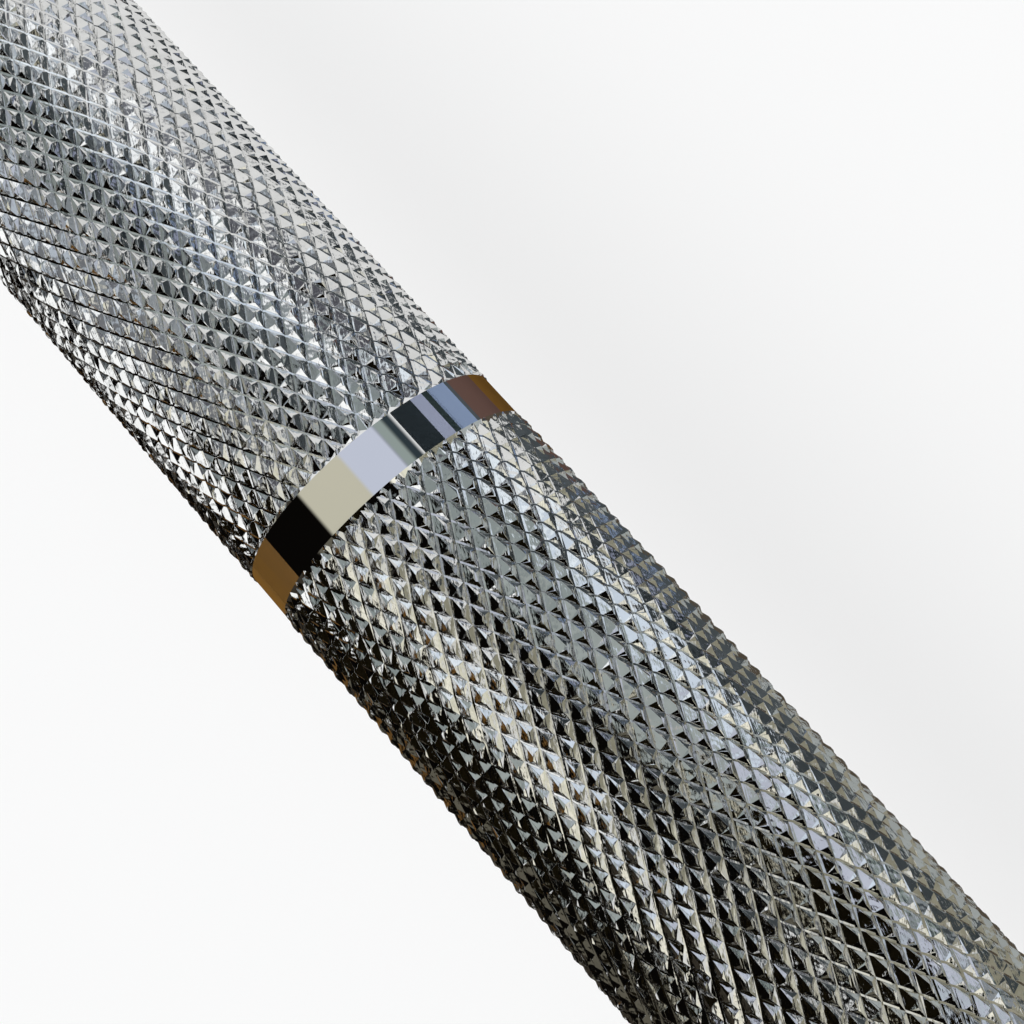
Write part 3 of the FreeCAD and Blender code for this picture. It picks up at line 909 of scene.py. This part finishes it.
def collar_outline():
    corners = square(
        (COLLAR_X, LIP_R),
        (COLLAR_X, HUB_R - HUB_CHAMFER),
        (COLLAR_X + HUB_CHAMFER, HUB_R),
    )
    corners.append((FLANGE_X, HUB_R, NECK_ROUND))
    corners.append((FLANGE_X, COLLAR_R, RIM_ROUND))
    corners.append((PLATE_X, COLLAR_R, RIM_ROUND))
    corners += square(
        (PLATE_X, SLEEVE_SEAT_R + COLLAR_MOUTH),
        (PLATE_X - COLLAR_MOUTH, SLEEVE_SEAT_R),
        (SLEEVE_X, SLEEVE_SEAT_R),
        (SLEEVE_X, SEAL_SEAT_R),
        (SEAL_X, SEAL_SEAT_R),
        (SEAL_X, LIP_R),
    )
    return rounded(corners)


def seal_outline():
    middle = (SEAL_X + SLEEVE_X) / 2
    return [
        (SEAL_X, SEAL_R),
        (middle - SEAL_GROOVE, SEAL_R),
        (middle, SEAL_R + SEAL_GROOVE),
        (middle + SEAL_GROOVE, SEAL_R),
        (SLEEVE_X, SEAL_R),
        (SLEEVE_X, SEAL_SEAT_R),
        (SEAL_X, SEAL_SEAT_R),
    ]


def cap_outline():
    floor_x = CAP_X[1] - CAP_DISH
    return [
        (CAP_X[0], 0),
        (CAP_X[0], CAP_R - CAP_EDGE),
        (CAP_X[0] + CAP_EDGE, CAP_R),
        (CAP_X[1] - CAP_EDGE, CAP_R),
        (CAP_X[1], CAP_R - CAP_EDGE),
        (CAP_X[1], CAP_DISH_R),
        (floor_x, CAP_DISH_R - CAP_DISH),
        (floor_x, 0),
    ]


def clip(name, sign):
    """The open retaining ring in front of the end cap, with a drilled ear on each side of its opening."""
    drop = (CLIP_THICK - CLIP_THIN) / 2
    bore_r = CLIP_R - CLIP_THIN - drop
    edge = CLIP_OPENING / 2
    ear_y = edge + CLIP_EAR_R
    ear_z = -math.sqrt((CLIP_R - CLIP_THIN) ** 2 - ear_y ** 2)

    def outward(turn):
        """The way out at an angle from the top."""
        return Vector((math.sin(turn), math.cos(turn)))

    def inner(turn):
        """The inner edge at an angle from the top, which an ear brings nearer to the middle."""
        way = outward(turn)
        lift = way.y * -drop
        reach = lift + math.sqrt(lift ** 2 + bore_r ** 2 - drop ** 2)
        ahead = way.x * ear_y + way.y * ear_z
        clear = ear_y ** 2 + ear_z ** 2 - CLIP_EAR_R ** 2
        if ahead > 0 and ahead ** 2 > clear:
            reach = min(reach, ahead - math.sqrt(ahead ** 2 - clear))
        return way * reach

    def hole(y):
        turns = [2 * math.pi * n / CLIP_HOLE_STEPS for n in range(CLIP_HOLE_STEPS)]
        middle = Vector((y, ear_z))
        return [middle + Vector((math.cos(t), math.sin(t))) * CLIP_HOLE_R for t in turns]

    last = math.pi - math.asin(edge / CLIP_R)
    ear_turn = math.pi - math.atan2(edge, -ear_z)
    half = [outward(t) * CLIP_R for t in np.linspace(0.0, last, CLIP_OUTER_STEPS)]
    half += [inner(t) for t in np.linspace(ear_turn, 0.0, CLIP_INNER_STEPS)]
    other_half = [Vector((-v.x, v.y)) for v in reversed(half[1:-1])]
    loops = [half + other_half, hole(ear_y), hole(-ear_y)]
    flat = [v for loop in loops for v in loop]
    count = len(flat)
    caps = tessellate_polygon([[v.to_3d() for v in loop] for loop in loops])
    verts = [(sign * x, v.x, v.y) for x in CLIP_X for v in flat]
    faces = [tuple(t) for t in caps] + [tuple(count + n for n in t) for t in caps]
    start = 0
    for loop in loops:
        for n in range(len(loop)):
            a = start + n
            b = start + (n + 1) % len(loop)
            faces.append((a, b, b + count, a + count))
        start += len(loop)
    mesh = mesh_of(name, verts, faces)
    smooth_solid(mesh)
    return link(name, mesh)


def build_ends():
    for side, sign in SIDES.items():
        body = side + "_sleeve"
        turned = [
            ("sleeve", sleeve_outline(), SLEEVE_CHROME, "sleeve_chrome"),
            ("collar", collar_outline(), COLLAR_CHROME, "collar_chrome"),
            ("end_cap", cap_outline(), CAP_STEEL, "cap_steel"),
            ("shaft_seal", seal_outline(), SEAL_RUBBER, "seal_rubber"),
        ]
        for kind, outline, mat, slot in turned:
            obj = lathe(side + "_turned_" + kind, mirrored(outline, sign), END_SEGMENTS)
            dress(obj, mat, body, side + "_" + kind)
        ring = clip(side + "_open_clip", sign)
        dress(ring, SPRING_STEEL, body, side + "_cap_retaining_ring")


def card(name, corners, mat):
    """A flat sheet in the scene, by its corners in metres."""
    mesh = bpy.data.meshes.new(name)
    mesh.from_pydata([tuple(c) for c in corners], [], [tuple(range(len(corners)))])
    obj = link(name, mesh)
    obj.data.materials.append(mat)
    return obj


def off_camera(name, corners, mat):
    """A card that only the metal sees."""
    obj = card(name, corners, mat)
    obj.visible_camera = False
    obj.visible_diffuse = False
    obj.visible_shadow = False


def build_floor():
    """White paper: where it is seen, straight or in the metal, part of its white is its own."""
    mat, tree, bsdf = shader("floor_paper")
    bsdf.inputs["Base Color"].default_value = (*FLOOR_TONE, 1.0)
    bsdf.inputs["Roughness"].default_value = FLOOR_ROUGH
    bsdf.inputs["Specular IOR Level"].default_value = FLOOR_SHINE
    glow = tree.nodes.new("ShaderNodeEmission")
    glow.inputs["Color"].default_value = (1.0, 1.0, 1.0, 1.0)
    path = tree.nodes.new("ShaderNodeLightPath").outputs
    seen = calc(tree, "MAXIMUM", path["Is Camera Ray"], path["Is Glossy Ray"])
    seen = calc(tree, "MAXIMUM", seen, path["Is Transmission Ray"])
    mix = tree.nodes.new("ShaderNodeMixShader")
    tree.links.new(calc(tree, "MULTIPLY", seen, FLOOR_GLOW), mix.inputs["Fac"])
    tree.links.new(bsdf.outputs["BSDF"], mix.inputs[1])
    tree.links.new(glow.outputs["Emission"], mix.inputs[2])
    tree.links.new(mix.outputs["Shader"], tree.nodes["Material Output"].inputs["Surface"])
    half = FLOOR_HALF
    z = FLOOR_Z * MM
    card("floor", [(-half, -half, z), (half, -half, z), (half, half, z), (-half, half, z)], mat)


def build_world():
    world = bpy.data.worlds.new("studio")
    bpy.context.scene.world = world
    world.use_nodes = True
    tree = world.node_tree
    way = tree.nodes.new("ShaderNodeTexCoord").outputs["Generated"]

    def band(value, low, high, soft):
        """1 between low and high, 0 outside."""
        away = calc(tree, "ABSOLUTE", calc(tree, "SUBTRACT", value, (low + high) / 2))
        return gate(tree, away, (high - low - soft) / 2, (high - low + soft) / 2)

    def over(colour, mask, paint):
        """Paint laid over a colour where the mask is 1."""
        mix = tree.nodes.new("ShaderNodeMix")
        mix.data_type = "RGBA"
        tree.links.new(mask, mix.inputs[0])
        if colour is None:
            mix.inputs[6].default_value = (*DARK, 1.0)
        else:
            tree.links.new(colour, mix.inputs[6])
        mix.inputs[7].default_value = (*paint, 1.0)
        return mix.outputs[2]

    turn = calc(tree, "ARCTAN2", along(tree, way, ACROSS), along(tree, way, FACING))
    turn = calc(tree, "MULTIPLY", turn, 180.0 / math.pi)
    lean = along(tree, way, AXIS)
    rise = along(tree, way, (0.0, 0.0, 1.0))
    zones = {zone: band(lean, *span, ZONE_SOFT) for zone, span in ZONES.items()}
    colour = None
    for zone, start, end, paint in SOFT_BOXES:
        mask = calc(tree, "MULTIPLY", zones[zone], band(turn, start, end, BOX_SOFT))
        colour = over(colour, mask, paint)
    colour = over(colour, gate(tree, rise, *HORIZON), PALE)
    tree.links.new(colour, tree.nodes["Background"].inputs["Color"])


def build_key():
    key = bpy.data.lights.new("key", "SUN")
    key.energy = KEY_ENERGY
    key.angle = math.radians(KEY_SPREAD)
    lamp = bpy.data.objects.new("key", key)
    bpy.context.scene.collection.objects.link(lamp)
    lamp.rotation_mode = "QUATERNION"
    lamp.rotation_quaternion = KEY_FROM.to_track_quat("Z", "Y")
    lamp.visible_glossy = False


def camera_axes():
    """The camera's place in metres, and its ways right, down and forward."""
    frame_axes = Matrix((AXIS, FACING, ACROSS)).transposed()
    right = (frame_axes @ Vector(CAMERA_RIGHT)).normalized()
    down = frame_axes @ Vector(CAMERA_DOWN)
    down = (down - right * down.dot(right)).normalized()
    place = AXIS * (RING_X + CAMERA_PAST_RING) + FACING * CAMERA_DISTANCE
    return place * MM, right, down, right.cross(down)


def flag_cloth(name, tones):
    mat = dull(name, *tones, FLAG_ROUGH, FLAG_GRAIN)
    mat.node_tree.nodes["Principled BSDF"].inputs["Specular IOR Level"].default_value = 0.0
    return mat


def build_flags():
    place, right, down, forward = camera_axes()
    back = place - forward * FLAG_BEHIND * MM
    corners = [back + (right * r + down * d) * MM for r, d in FLAG_OUTLINE]
    off_camera("flag", corners, flag_cloth("flag_brown", FLAG_BROWN))
    corners = []
    for past, left in SECOND_FLAG:
        corners.append((AXIS * (RING_X + past) + FACING * SECOND_FLAG_OUT + ACROSS * left) * MM)
    off_camera("second_flag", corners, flag_cloth("flag_black", FLAG_BLACK))


def build_cards():
    outlines = []
    for name, tones, (start, end), low, high in LEANING_CARDS:
        outlines.append((name, tones, [(start, *low), (end, *low), (end, *high), (start, *high)]))
    for name, tones, z, outline in LYING_CARDS:
        outlines.append((name, tones, [(past, y, z) for past, y in outline]))
    for name, tones, outline in outlines:
        corners = [Vector((RING_X + past, y, z)) * MM for past, y, z in outline]
        off_camera(name, corners, dull(name, *tones, CARD_ROUGH, CARD_GRAIN))


def build_camera():
    place, right, down, forward = camera_axes()
    data = bpy.data.cameras.new("camera")
    data.lens = CAMERA_LENS
    data.sensor_width = CAMERA_SENSOR
    data.clip_start, data.clip_end = CAMERA_CLIP
    cam = bpy.data.objects.new("camera", data)
    bpy.context.scene.collection.objects.link(cam)
    turn = Matrix((right, -down, -forward)).transposed()
    cam.matrix_world = Matrix.Translation(place) @ turn.to_4x4()
    bpy.context.scene.camera = cam


paint_cad()
build_shaft()
build_ends()
build_floor()
build_world()
build_key()
build_flags()
build_cards()
build_camera()
bpy.context.scene.view_settings.view_transform = "Standard"
